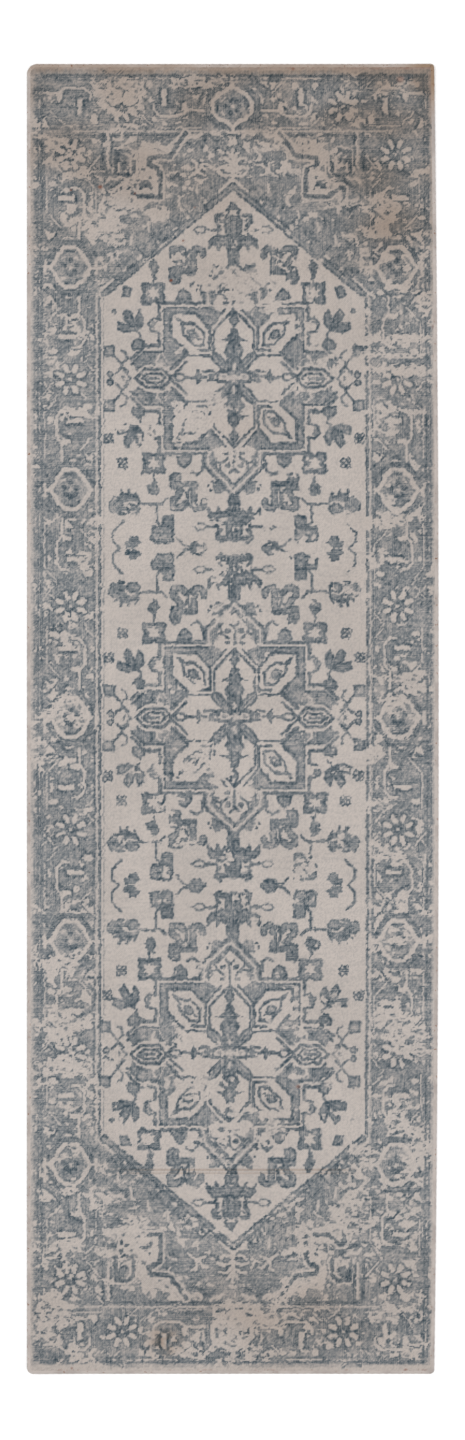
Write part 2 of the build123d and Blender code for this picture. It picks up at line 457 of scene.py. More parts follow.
def field_group(loom, x, y):
    """The flowers between two medallions. The places mirror it across and up and down."""
    for way in (1, -1):
        loom.at(*(place(x, y, side, way) for side in (1, -1)))
        # the crossed leaf out by the border, with its hooked stalk
        loom.shape([(88, 36), (92, 32), (98, 33), (101, 37), (97, 41), (90, 40)], 0.5, 1.6)
        leaf = [(88, 42), (90, 47), (98, 49), (104, 50), (106, 45), (104, 40), (97, 44)]
        loom.fill(leaf, 0.5)
        loom.line(leaf[:-1], 1.8)
        loom.fill([(96, 48), (100, 52), (106, 51), (109, 46), (104, 42), (99, 44)], 0.7)
        loom.line([(104, 50), (106, 46), (111, 48)], 1.6)
        loom.line([(100, 36), (106, 38), (112, 37), (113, 33), (116, 36), (117, 41), (113, 45)], 2)
        lobe = [(100, 36), (104, 40), (108, 46), (112, 45), (117, 41), (116, 36), (113, 33), (106, 32)]
        loom.fill(lobe, 0.5)
        loom.line([(104, 41), (108, 37)], 1.5)
        loom.line([(108, 44), (112, 40)], 1.5)
        loom.spot(105, 32, 8, 3.5)
        for dx, dy in ((90, 51), (97, 54), (104, 54)):
            loom.line([(dx, dy - 4), (dx + 2, dy)], 1.8)
        loom.line([(68, 41), (87, 41)], 1.7, 0.9)
        loom.line([(68, 41), (63, 46)], 1.6, 0.9)
        loom.line([(72, 41), (72, 25), (68, 19)], 1.7, 0.9)
        loom.line([(104, 24), (113, 15), (113, 6), (107, 0)], 1.7, 0.9)
        loom.shape([(74, 51), (79, 52), (80, 57), (76, 60), (73, 56)], 0.35, 1.8)
        loom.spot(74, 63, 2.6)
        # the pair of square leaves, and the vine from them to the middle
        loom.shape([(57, 20), (57, 29), (60, 30), (66, 29), (67, 20)], 0.55, 1.8)
        square = [(57, 7), (57, 19), (76, 19), (77, 8), (74, 6), (69, 6), (67, 8), (65, 5), (60, 5)]
        loom.shape(square, 0.45, 1.8)
        loom.line([(66, 18), (66, 13), (70, 11)], 1.5)
        loom.line([(53, 9), (46, 2), (40, 1)], 1.6, 0.9)
        loom.shape([(26, -1), (32, 6), (39, 5), (41, 0), (35, -5)], 0.6, 2)
        loom.fill([(86, 5), (90, 11), (97, 12), (98, 7), (102, 6), (101, 1), (93, 0), (90, 3)], 0.8)
        quatrefoil(loom, 104, 79)
        quatrefoil(loom, 117, 102)
        loom.at(*(place(x, y + way * 49, side, -way) for side in (1, -1)))
        horn(loom)
        loom.at(*(place(x, y, side, way) for side in (1, -1)))
        stem(loom)


def stem(loom):
    """The middle of a flower group, its right half: crown, keys, fan, squares and crossed leaves."""
    loom.fill([(0, 5), (5, 7), (7, 14), (7, 30), (0, 30)], 0.5)
    loom.line([(6, 8), (7, 16), (7, 22)], 1.8)
    loom.line([(2, 8), (2, 27)], 1.3, 0.9)
    loom.line([(12, 5), (16, 8), (15, 14), (12, 17)], 2.8, 0.85)
    loom.shape([(8, 7), (12, 8), (13, 11), (9, 11)], 0.5, 1.2)
    loom.line([(15, 20), (25, 20)], 2)
    loom.line([(15, 17), (16, 25)], 1.6)
    loom.line([(26, 20), (29, 17), (34, 17), (38, 20), (34, 23), (29, 23), (26, 20)], 1.3, 0.7)
    fan = [(0, 23), (6, 25), (11, 22), (16, 26), (20, 26), (24, 30), (24, 37)]
    fan += [(20, 32), (16, 32), (15, 38), (12, 32), (8, 35), (5, 31), (0, 33)]
    loom.shape(fan, 0.5, 1.7)
    loom.line([(8, 29), (18, 28)], 1.2)
    loom.shape([(-1, 35), (5, 34), (5, 41), (-1, 41)], 0.5)
    loom.shape([(-1, 42), (5, 42), (4, 49), (-1, 49)], 0.5)
    loom.line([(0, 48), (22, 72)], 2)
    loom.line([(0, 55), (14, 71)], 1.6)
    loom.fill([(8, 54), (13, 60), (20, 62), (20, 57), (18, 51), (13, 50)], 0.5)
    loom.line([(8, 54), (13, 60), (20, 62)], 1.6)
    loom.spot(22, 54, 3)
    loom.spot(24, 58, 2.6)


def end_spray(loom, way):
    """The flowers between an end medallion and its gable."""
    x, y = MEDALLIONS[0 if way > 0 else 2]
    loom.at(*(place(x / 2, y, side, way) for side in (1, -1)))
    loom.line([(-1, 163), (3, 160), (6, 156), (4, 154)], 2)
    loom.fill([(-1, 162), (3, 159), (4, 156), (-1, 156)], 0.5)
    loom.fill([(0, 128), (6, 134), (8, 142), (7, 152), (0, 153)], 0.5)
    loom.line([(7, 136), (8, 147), (6, 152)], 1.7)
    loom.line([(3, 134), (3, 150)], 1.2)
    loom.line([(10, 152), (16, 151), (16, 146), (13, 142)], 3.6, 0.8)
    loom.line([(13, 148), (10, 146)], 1.4)
    loom.line([(12, 138), (24, 138)], 2)
    loom.line([(14, 141), (14, 134)], 2)
    loom.line([(25, 138), (28, 141), (33, 141), (37, 138), (33, 135), (28, 135), (25, 138)], 1.3, 0.7)
    fan = [(0, 130), (5, 133), (10, 132), (17, 133), (21, 129), (23, 121), (19, 126)]
    fan += [(15, 124), (14, 119), (12, 124), (8, 124), (5, 121), (0, 125)]
    loom.shape(fan, 0.5, 1.7)
    loom.line([(6, 128), (17, 129)], 1.2)
    loom.shape([(0, 114), (5, 113), (5, 120), (0, 120)], 0.5)
    loom.shape([(0, 105), (4, 105), (4, 111), (0, 111)], 0.5)
    loom.line([(0, 106), (20, 84)], 2)
    loom.line([(0, 99), (14, 84)], 1.6)
    loom.fill([(8, 99), (12, 104), (19, 105), (21, 99), (17, 94), (12, 95)], 0.5)
    loom.line([(8, 99), (12, 104), (19, 105)], 1.6)
    loom.line([(4, 89), (9, 84), (14, 79)], 1.6)
    for dx, dy in ((22, 96), (24, 88), (33, 87), (34, 82)):
        loom.spot(dx, dy, 2.8)
    loom.at(*(place(x / 2, y + way * 109, side, way) for side in (1, -1)))
    horn(loom)
    loom.at(*(place(x / 2, y, side, way) for side in (1, -1)))
    loom.fill([(72, 92), (74, 100), (78, 104), (77, 96), (75, 90)], 0.8)
    loom.shape([(95, 84), (103, 84), (104, 77), (98, 76)], 0.5)
    loom.spot(112, 62, 6, 5, 0.7)


def border_unit(loom):
    """From a cartouche at 0 to half way round the rosette at y 105. x is across the border, outwards."""
    loom.vine([(24, 30), (24, 72), (13, 88)], 1.2)
    loom.vine([(8, 24), (8, 43), (13, 50), (13, 68), (8, 74), (2, 74)], 2.4)
    loom.fill([(-1, 44), (8, 42), (8, 48), (1, 48)], CREAM)
    loom.line([(-2, 43), (-1, 48), (5, 49), (10, 53)], 1.6)
    loom.vine([(-9, 37), (-21, 50)], 1.4)
    loom.vine([(-22, 51), (-22, 84)], 1.3)
    loom.fill([(-12, 62), (4, 62), (4, 67), (-12, 67)], CREAM)
    loom.line([(-12, 61), (5, 61), (5, 67)], 1.7)
    loom.line([(-12, 67), (-8, 69), (1, 68), (2, 72)], 2.2)
    loom.spot(22, 42, 4, 3.6)
    loom.spot(22, 14, 4, 3.6)
    loom.spot(20, 64, 4, 5, CREAM)
    loom.vine([(14, 83), (22, 75)], 1.2)
    loom.vine([(27, 88), (14, 102)], 1.3)
    loom.vine([(28, 104), (16, 90)], 1.3)
    loom.fill([(-20, 24), (-13, 28), (-10, 35), (-17, 32), (-25, 36)], CREAM)
    loom.line([(-24, 21), (-16, 27), (-10, 36)], 1.6)
    loom.line([(-25, 37), (-17, 33)], 1.6)
    loom.fill([(-8, 25), (-3, 29), (3, 27), (0, 24)], CREAM)
    loom.line([(-8, 28), (-3, 31), (2, 29)], 1.6)
    loom.spot(-16, 78, 9, 6, CREAM)
    loom.line([(-20, 82), (-14, 82), (-10, 78)], 1.5)
    loom.spot(-10, 86, 6, 4, 0.8)


def cartouche(loom):
    """The palmette of the border: a cream ring round a dark flower, and a small cross to each side."""
    ring = [(-6, 19), (5, 19), (11, 13), (15, 6), (19, 0), (15, -6), (11, -13)]
    ring += [(4, -18), (-5, -18), (-12, -12), (-15, -5), (-19, 0), (-15, 5), (-12, 12)]
    around = turned([(-9, 25), (9, 25), (17, 14), (22, 5), (22, -5), (17, -14)])
    loom.fill(around, 0.5)
    loom.beads(around + around[:1], 2, 6, 0.85)
    loom.line(ring, 6.2, DARK, closed=True)
    loom.fill(ring)
    loom.line(ring, 3.6, CREAM, closed=True)
    for side in (-1, 1):
        loom.line([(side * 20, 0), (side * 28, 0)], 3.4, CREAM)
        loom.line([(side * 24, 5), (side * 24, -5)], 3, CREAM)
    loom.beads([(-6, 15), (5, 15)], 1.6, 3)
    loom.line([(-5, -14.5), (4, -14.5), (9, -10)], 1.8)
    for dx, dy in ((0, 7), (0, -6), (6, 2), (-6, 2), (4, -4), (-4, -4)):
        loom.spot(dx, dy, 5, 5, 0.95)
    loom.spot(0, 0, 4, 4, 0.05)
    loom.line([(5, 10), (8, 7)], 1.4, CREAM)
    loom.line([(-8, 8), (-5, 10)], 1.4, CREAM)


def rosette(loom):
    """Eight cream petals round a dark middle."""
    loom.spot(0, 0, 33, 33, 0.55)
    for width, tone in ((7.4, DARK), (4.4, CREAM)):
        for i in range(8):
            turn = (i + 0.5) * math.pi / 4
            loom.line([polar(8.5, turn), polar(13, turn)], width, tone)
    loom.spot(0, 0, 8, 8, 0.85)
    loom.spot(0, 0, 3.4, 3.4, 0.1)


def borders(loom):
    """Cartouches and rosettes in turn along the sides and ends."""
    for k, y in enumerate((420, 213, 1, -207, -415)):
        flip = 1 if k % 2 else -1
        for way in (1, -1):
            loom.at(place(BORDER_MIDDLE, y, flip, way), place(-BORDER_MIDDLE, y, -flip, way))
            border_unit(loom)
        loom.at(place(BORDER_MIDDLE, y), place(-BORDER_MIDDLE, y))
        cartouche(loom)
    for y in (525, 316, 105, -103, -310, -521):
        loom.at(place(BORDER_MIDDLE, y), place(-BORDER_MIDDLE, y))
        rosette(loom)
    for way in (1, -1):
        loom.at(*(place(0, way * END_MIDDLE, -way, side, 1) for side in (1, -1)))
        border_unit(loom)
        loom.at(*(place(side * 208, way * END_MIDDLE, way, side, 1) for side in (1, -1)))
        border_unit(loom)
        loom.at(place(0, way * (END_MIDDLE - 4), 1, 1, 1))
        cartouche(loom)
        loom.at(*both(104, way * (END_MIDDLE - 4)))
        rosette(loom)
        loom.at(*both())
        loom.line([(0, way * 543), (FIELD_HALF, way * 543)], 1.8, 0.85)
        loom.line([(0, way * 547), (FIELD_HALF + 28, way * 547)], 1.3, CREAM)
        loom.line([(0, way * 598.5), (180, way * 598.5)], 1.8, 0.8)
        loom.line([(0, way * 594), (176, way * 594)], 1.2, 0.7)
    for side, shift in ((-1, 1.5), (1, 0)):
        loom.at(place(0, 0, side))
        loom.line([(BORDER_MIDDLE + 27, -594), (BORDER_MIDDLE + 27, 597)], 1.5, 0.78)
        loom.line([(BORDER_MIDDLE + 30.5, -594), (BORDER_MIDDLE + 30.5, 597)], 1.4, 0.7)
        for out, width, tone in ((1, 3, CREAM), (2.6, 1.6, 0.85), (5.5, 1.2, CREAM), (8, 0.8, 0.75)):
            loom.line([(FIELD_HALF + out + shift, -395), (FIELD_HALF + out + shift, 395)], width, tone)


def spandrel(loom, way):
    """The hooks and leaves in the corners between a gable and the borders."""
    loom.at(*(place(0, 0 if way > 0 else 6, side, way) for side in (1, -1)))
    # cream within the big hook and over it, then the dark hook itself
    within = [(71, 488), (88, 488), (90, 496), (88, 508), (88, 528), (84, 533)]
    within += [(72, 530), (70, 526), (80, 520), (80, 514), (72, 510)]
    loom.fill(within, CREAM)
    loom.line([(46, 545), (62, 530), (70, 533), (84, 535)], 4, CREAM)
    hook = [(44, 545), (59, 524), (78, 522), (79, 516), (70, 512), (68, 505)]
    hook += [(68, 486), (90, 486), (100, 495), (104, 494), (103, 482)]
    loom.line(hook, 8.5, CREAM)
    loom.line(hook, 3.8, 0.85)
    loom.shape([(76, 493), (79, 500), (88, 501), (87, 494), (80, 496)], 0.8, 1.4)
    loom.spot(78, 504, 3)
    loom.spot(84, 512, 4, 6, 0.5)
    # the ring beside it, and the pair of bars by the border
    ring = [(110, 511), (110, 528), (99, 529), (93, 524), (93, 510)]
    loom.line(ring, 8, CREAM)
    loom.line(ring, 3.4, 0.85)
    loom.shape([(100, 517), (102, 524), (107, 526), (108, 520), (104, 516)], 0.5)
    loom.line([(94, 507), (101, 505), (111, 508)], 2, 0.9)
    loom.line([(114, 545), (114, 515)], 2.2, 0.9)
    loom.line([(122, 545), (122, 512)], 2.6, 0.9)
    loom.line([(117, 545), (117, 513)], 2, CREAM)
    # a cream palmette over the gable, and a leaf of three fingers each side of it, both with a dark edge
    petals = [[(0, 504), (0, 530)], [(0, 506), (8, 505), (13, 508)], [(0, 511), (8, 514), (14, 512)]]
    petals += [[(1, 516), (7, 522), (12, 521)], [(0, 520), (5, 527)]]
    fingers = [[(26, 506), (34, 509), (42, 504)], [(34, 509), (34, 517), (38, 519)]]
    fingers += [[(33, 509), (28, 516), (24, 516)]]
    for strokes, width, tone in (
        (petals, 5.5, 0.8), (petals, 2.8, CREAM), (fingers, 5, 0.78), (fingers, 2.4, CREAM),
    ):
        for stroke in strokes:
            loom.line(stroke, width, tone)
    # leaves and curls: cream with a broken dark edge
    leaf = np.array([(-7, 0), (-3, 4), (2, 3), (5, 5), (8, 1), (3, -1), (-1, -4)])
    curls = ((36, 538, 1.3), (16, 541, 1.0), (56, 506, 0.7), (110, 478, 1.3), (112, 499, 1.1))
    curls += ((90, 474, 0.7), (108, 446, 1.1), (104, 431, 0.9), (116, 420, 0.8))
    for i, (dx, dy, size) in enumerate(curls):
        placed = leaf * (1 if i % 2 else -1, 1) * size + (dx, dy)
        loom.line(placed, 1.6, 0.85, closed=True)
        loom.line(placed[:4], 2.6 * size, CREAM)


def weave_design(columns, rows):
    """The whole design, before any wear."""
    loom = Loom(columns, rows)
    grounds(loom)
    borders(loom)
    for way in (1, -1):
        spandrel(loom, way)
        gable(loom, way)
        end_spray(loom, way)
    for x, y in BETWEEN:
        field_group(loom, x, y)
    for x, y in MEDALLIONS:
        medallion(loom, x, y)
    return loom


# Where the dye is worn away: middle x and y, half width, half height, and how much more than elsewhere.
# Less than nothing marks a stretch that kept its dye. All in knots.
WORN = (
    # left border, from the head down
    (-155, 522, 28, 18, 0.45), (-148, 468, 20, 14, 0.35), (-152, 345, 34, 30, 0.42),
    (-150, 284, 34, 7, 0.5), (-152, 184, 34, 6, 0.45), (-140, 150, 22, 17, 0.35),
    (-155, 12, 26, 38, 0.33), (-152, -38, 34, 6, 0.5), (-150, -176, 34, 10, 0.3),
    (-158, -232, 30, 9, 0.34), (-155, -305, 26, 32, 0.22), (-158, -352, 26, 9, 0.34),
    (-160, -490, 26, 14, 0.2), (-175, -545, 16, 26, 0.35), (-128, 155, 8, 30, 0.25),
    # right border
    (152, 353, 42, 5, 1.0), (152, 338, 38, 3, 0.8), (152, 325, 42, 5, 0.9), (152, 310, 34, 12, 0.2),
    (150, 286, 42, 5, 0.8), (122, 340, 7, 46, 0.5), (180, 375, 7, 130, 0.3), (112, 352, 14, 8, 0.3),
    (150, 270, 34, 5, 0.2), (135, 462, 20, 26, 0.3), (150, 186, 34, 9, 0.35), (145, 148, 22, 14, 0.3),
    (152, 18, 34, 36, 0.45), (130, -35, 14, 10, 0.4), (150, -124, 30, 7, 0.25), (150, -172, 30, 10, 0.25),
    (152, -290, 34, 24, 0.42), (150, -345, 30, 14, 0.3), (110, -458, 22, 18, 0.4),
    (175, -400, 14, 14, 0.2), (170, -480, 14, 20, 0.25), (172, 515, 12, 18, 0.3),
    # head
    (-112, 588, 30, 14, 0.55), (-100, 576, 26, 15, 0.7), (-60, 592, 26, 10, 0.6), (-30, 590, 16, 8, 0.45),
    (-90, 535, 36, 9, 0.15), (-95, 490, 40, 22, 0.35), (-30, 510, 28, 9, 0.4), (36, 538, 32, 8, 0.5),
    (74, 535, 14, 12, 0.5), (15, 512, 36, 8, 0.42), (90, 512, 26, 18, 0.42), (-130, 455, 30, 20, 0.4),
    (56, 568, 14, 8, 0.3),
    # foot
    (75, -497, 20, 16, 0.3), (-78, -500, 14, 12, 0.2), (8, -556, 44, 14, 0.5), (0, -570, 30, 20, 0.55),
    (58, -537, 16, 9, 0.35), (-54, -537, 14, 9, 0.3), (95, -482, 14, 8, 0.3), (62, -526, 24, 12, 0.45),
    (-62, -527, 26, 10, 0.35), (-92, -482, 30, 18, 0.45), (60, -562, 30, 12, 0.3),
    (-60, -588, 26, 8, 0.3), (20, -590, 30, 6, 0.25), (-150, -592, 30, 7, 0.3), (85, -480, 28, 20, 0.5),
    (-110, -440, 26, 16, 0.25),
    # medallions and field
    (-34, 290, 28, 22, 0.62), (-34, -34, 28, 18, 0.75), (4, 92, 26, 13, 0.66), (8, -66, 28, 12, 0.6),
    (4, 404, 30, 14, 0.35), (-44, 30, 22, 9, 0.35), (40, 12, 16, 12, 0.2), (80, 330, 16, 18, 0.42),
    (86, 12, 22, 16, 0.5), (80, -318, 14, 18, 0.2), (-40, -344, 24, 16, 0.6), (60, -245, 50, 10, 0.2),
    (0, -238, 40, 8, 0.25), (20, -372, 30, 12, 0.35), (0, -52, 30, 8, 0.3),
    # kept
    (150, 575, 34, 22, -0.25), (30, 572, 26, 22, -0.1), (-160, 560, 24, 14, -0.2),
    (-150, 213, 26, 26, -0.2), (152, 230, 30, 26, -0.15), (-152, -75, 30, 28, -0.2),
    (152, -85, 30, 34, -0.2), (160, 130, 22, 20, -0.15), (-150, 108, 30, 24, -0.15),
    (-170, 150, 12, 30, -0.2), (60, 480, 30, 22, -0.15), (-160, -470, 20, 16, -0.1),
    (110, -545, 26, 18, -0.1), (152, -215, 26, 16, -0.1), (-150, -140, 30, 24, -0.15),
    (0, 34, 18, 26, -0.3), (4, -28, 16, 20, -0.25), (40, -38, 22, 20, -0.3), (44, 42, 22, 20, -0.25),
    (0, 348, 18, 26, -0.3), (0, -278, 18, 26, -0.3), (40, -350, 20, 18, -0.3), (0, 318, 60, 10, -0.2),
    (0, 3, 26, 12, -0.3), (0, -312, 60, 10, -0.25), (-72, -312, 20, 20, -0.2), (0, 108, 8, 40, -0.1),
    (-72, 2, 24, 20, -0.3), (-72, 320, 24, 20, -0.25), (0, -512, 30, 14, -0.3), (36, 480, 20, 16, -0.2),
    (-36, 480, 20, 16, -0.2), (-152, 440, 26, 26, -0.1), (-152, 0, 20, 20, 0.1),
    (-165, -80, 14, 60, -0.2), (-165, 240, 14, 70, -0.2),
)


def value_noise(shape, across, along, seed):
    """Smooth noise from 0 to 1, evenly spread, whose patches are about across by along knots."""
    source = np.random.default_rng(seed)
    rows, columns = int(shape[0] / along) + 5, int(shape[1] / across) + 5
    coarse = source.standard_normal((rows, columns))
    for axis, step in ((0, along), (1, across)):
        at = np.arange(shape[axis]) / step + 1
        whole = at.astype(int)
        t = at - whole
        spline = ((1 - t) ** 3, 3 * t**3 - 6 * t**2 + 4, -3 * t**3 + 3 * t**2 + 3 * t + 1, t**3)
        weights = [(w / 6)[:, None] if axis == 0 else w / 6 for w in spline]
        coarse = sum(np.take(coarse, whole - 1 + k, axis) * w for k, w in enumerate(weights))
    return 0.5 + 0.5 * np.tanh(coarse / coarse.std() * 0.85)


def layered(shape, *layers):
    """Noises of several sizes added up: each layer is across, along, seed and its share."""
    return sum(share * value_noise(shape, across, along, seed) for across, along, seed, share in layers)


def smooth(value, low, high):
    """Eases from 0 to 1 as the value goes from low to high."""
    t = np.clip((value - low) / (high - low), 0, 1)
    return t * t * (3 - 2 * t)


def ragged(tone):
    """The design with its edges a knot or so out of place, as the loom leaves them."""
    shape = tone.shape
    row, column = np.indices(shape)
    for axis, seed in ((0, 41), (1, 43)):
        shift = 1.3 * (value_noise(shape, 2.0, 1.8, seed) - 0.5)
        at = (row, column)[axis] + np.round(shift).astype(int)
        at = np.clip(at, 0, shape[axis] - 1)
        tone = tone[at, column] if axis == 0 else tone[row, at]
    return tone


def weather(loom):
    """The design after wear: leafy dye losses, worn patches, and threads that took dye unevenly."""
    tone, shape = ragged(loom.tone), loom.tone.shape
    x, y = loom.x[None, :], loom.y[:, None]
    worn = np.zeros(shape)
    for px, py, half_x, half_y, amount in WORN:
        near = ((x - px) / half_x) ** 2 + ((y - py) / half_y) ** 2
        worn += amount * np.exp(-(near**1.5))
    slope = np.abs(x) * GABLE_SLOPE
    within = np.where(y > 0, APEX[1] - slope - y, y - APEX[-1] - slope)
    ground = smooth(np.abs(x), FIELD_HALF - 2, FIELD_HALF + 2) + smooth(-within, 2, 8)
    ground = np.clip(ground, 0, 1)
    # small leaves in the plain ground: cream with a dark edge, thicker in some stretches than in others
    busy = smooth(value_noise(shape, 26, 20, 25), 0.35, 0.8)
    leaf = layered(shape, (3.6, 3.0, 11, 0.50), (8, 6, 12, 0.27), (1.7, 1.4, 34, 0.23))
    level = 0.748 - 0.10 * busy - 0.25 * np.clip(worn, -0.4, 1)
    plain = np.abs(tone - GROUND) < 0.02
    fleck = smooth(leaf, level, level + 0.04)
    rim = smooth(leaf, level - 0.08, level - 0.04) * (1 - fleck)
    rim = rim * smooth(value_noise(shape, 3, 2.5, 13), 0.4, 0.55)
    tone = np.where(plain, (tone + rim * 0.30) * (1 - fleck), tone)
    # patches where dye of every tone has gone, with a dark broken edge and some threads left in them
    patch = layered(shape, (30, 20, 14, 0.36), (10, 6.5, 15, 0.34), (3.2, 2.3, 16, 0.30))
    level = 0.735 - 0.62 * np.clip(worn, -0.3, 1) - 0.03 * ground + 0.07 * (tone > 0.7)
    lost = smooth(patch, level, level + 0.02)
    left = smooth(value_noise(shape, 2.3, 1.3, 26), 0.74, 0.82) * (0.4 + 0.6 * ground)
    rim = smooth(patch, level - 0.055, level - 0.02) * (1 - lost)
    rim = rim * smooth(value_noise(shape, 3, 2, 27), 0.45, 0.6)
    faded = smooth(value_noise(shape, 7, 5, 23), 0.62 - 0.3 * worn, 0.80 - 0.3 * worn)
    tone = (tone + 0.30 * rim * (tone > 0.2)) * (1 - lost * (1 - left)) * (1 - 0.30 * faded)
    # thread by thread
    speck = np.random.default_rng(21).random(shape)
    row, column = np.indices(shape)
    which = smooth(value_noise(shape, 40, 34, 19), 0.42, 0.58)
    mesh = (row % 2) * which + (column % 2) * (1 - which)
    beads = (row + column) % 2
    grain = value_noise(shape, 1.2, 1.1, 28)
    tone = tone * (1.0 + 0.36 * (grain - 0.5)) + 0.16 * smooth(grain, 0.80, 0.95) * (tone > 0.3)
    tone = tone * (1.10 - 0.22 * mesh) * (1 - 0.28 * beads * (tone > 0.62))
    tone = tone * (1 - 0.45 * (speck > 0.91 - 0.05 * ground) * (tone > 0.3))
    weft = value_noise(shape, 9, 0.9, 17)
    warp = value_noise(shape, 0.9, 9, 18)
    threads = weft * which + warp * (1 - which)
    tone = tone * (0.86 + 0.28 * threads) + 0.07 * (threads - 0.45)
    single = np.random.default_rng(35).random(shape) - 0.5
    tone = 0.055 + 0.945 * tone + 0.32 * single * (0.7 + 0.6 * tone)
    return np.clip(tone, 0, 1)


# Small brown and rust-red marks: x and y in knots, across, and how strong.
SPECKS = (
    (-124.5, 495, 3, 0.75), (-47, 445, 1.6, 0.9), (-58.5, 408, 2.2, 1.0), (-152, 492, 1.6, 0.8),
    (57, 605, 2.5, 0.6), (163, -606, 2.6, 0.7), (-151, -604, 1.8, 0.6), (60, -342, 3, 0.55),
    (100, 608, 3, 0.6), (158, 595, 5, 0.35), (-92, 489, 1.8, 0.5), (-36, 476, 1.6, 0.5),
    (188, 365, 4, 0.5), (188, 338, 3, 0.4), (189, -316, 3, 0.6),
)


def soil_shade_and_rust(loom):
    """Two sheets: brown dirt, mostly at the head and its right corner, with a darkening to the ends and
    the right side that is partly age and partly painted shade, and painted shade along a fold; and rust
    specks.
    """
    shape = loom.tone.shape
    x, y = loom.x[None, :], loom.y[:, None]
    cloud = value_noise(shape, 26, 18, 31)
    fine = value_noise(shape, 2.5, 2.2, 32)
    head = smooth(y, 596, 606) * (0.25 + 0.3 * fine)
    corner = smooth(x, 158, 182) * smooth(y, 572, 594) * (0.65 + 0.5 * fine)
    warm = 0.30 * np.exp(-(((x - 150) / 36) ** 2) - ((y - 462) / 34) ** 2)
    warm = warm + 0.30 * np.exp(-(((x - 40) / 80) ** 2) - ((y + 545) / 30) ** 2)
    warm = warm + 0.65 * np.exp(-(((x + 64) / 15) ** 2) - ((y + 579) / 15) ** 2) * (0.4 + fine)
    warm = warm + 0.14 * np.exp(-(((x - 10) / 40) ** 2) - ((y - 270) / 20) ** 2)
    # darker towards the head, the foot and the right side: partly the rug's age, partly painted shade
    age_and_painted_shade = 0.46 * smooth(y, 325, 575) + 0.16 * smooth(-y, 420, 600)
    age_and_painted_shade = age_and_painted_shade + 0.14 * smooth(x, 40, 160) * smooth(y, -200, 400)
    # painted shade: two thin darker lines along a fold across most of the field, which the cloth's shape
    # doesn't have
    fold_shade = np.exp(-(((y + 419.5) / 0.8) ** 2)) + 0.7 * np.exp(-(((y + 422.5) / 0.7) ** 2))
    fold_shade = fold_shade * smooth(x, -125, -80) * smooth(-x, -125, -90) * 0.75
    soil_and_shade = np.clip((age_and_painted_shade + warm) * (0.6 + 0.8 * cloud) + head + corner + fold_shade, 0, 0.9)
    rust = np.zeros(shape)
    for px, py, across, strength in SPECKS:
        away = np.hypot(x - px, (y - py) * 1.2)
        rust = np.maximum(rust, strength * smooth(-away, -across, -across * 0.3))
    edge = smooth(np.abs(y), 604, 607) * (value_noise(shape, 1.6, 1.2, 33) > 0.90) * 0.5
    by_side, by_end = smooth(x, 184, 188) * smooth(y, 555, 590), smooth(y, 603, 606) * smooth(x, 60, 170)
    stain = np.maximum(by_side, by_end)
    edge = np.maximum(edge, stain * (0.05 + 0.45 * fine))
    return soil_and_shade, np.maximum(rust, edge)


# ---------------------------------------------------------------- materials

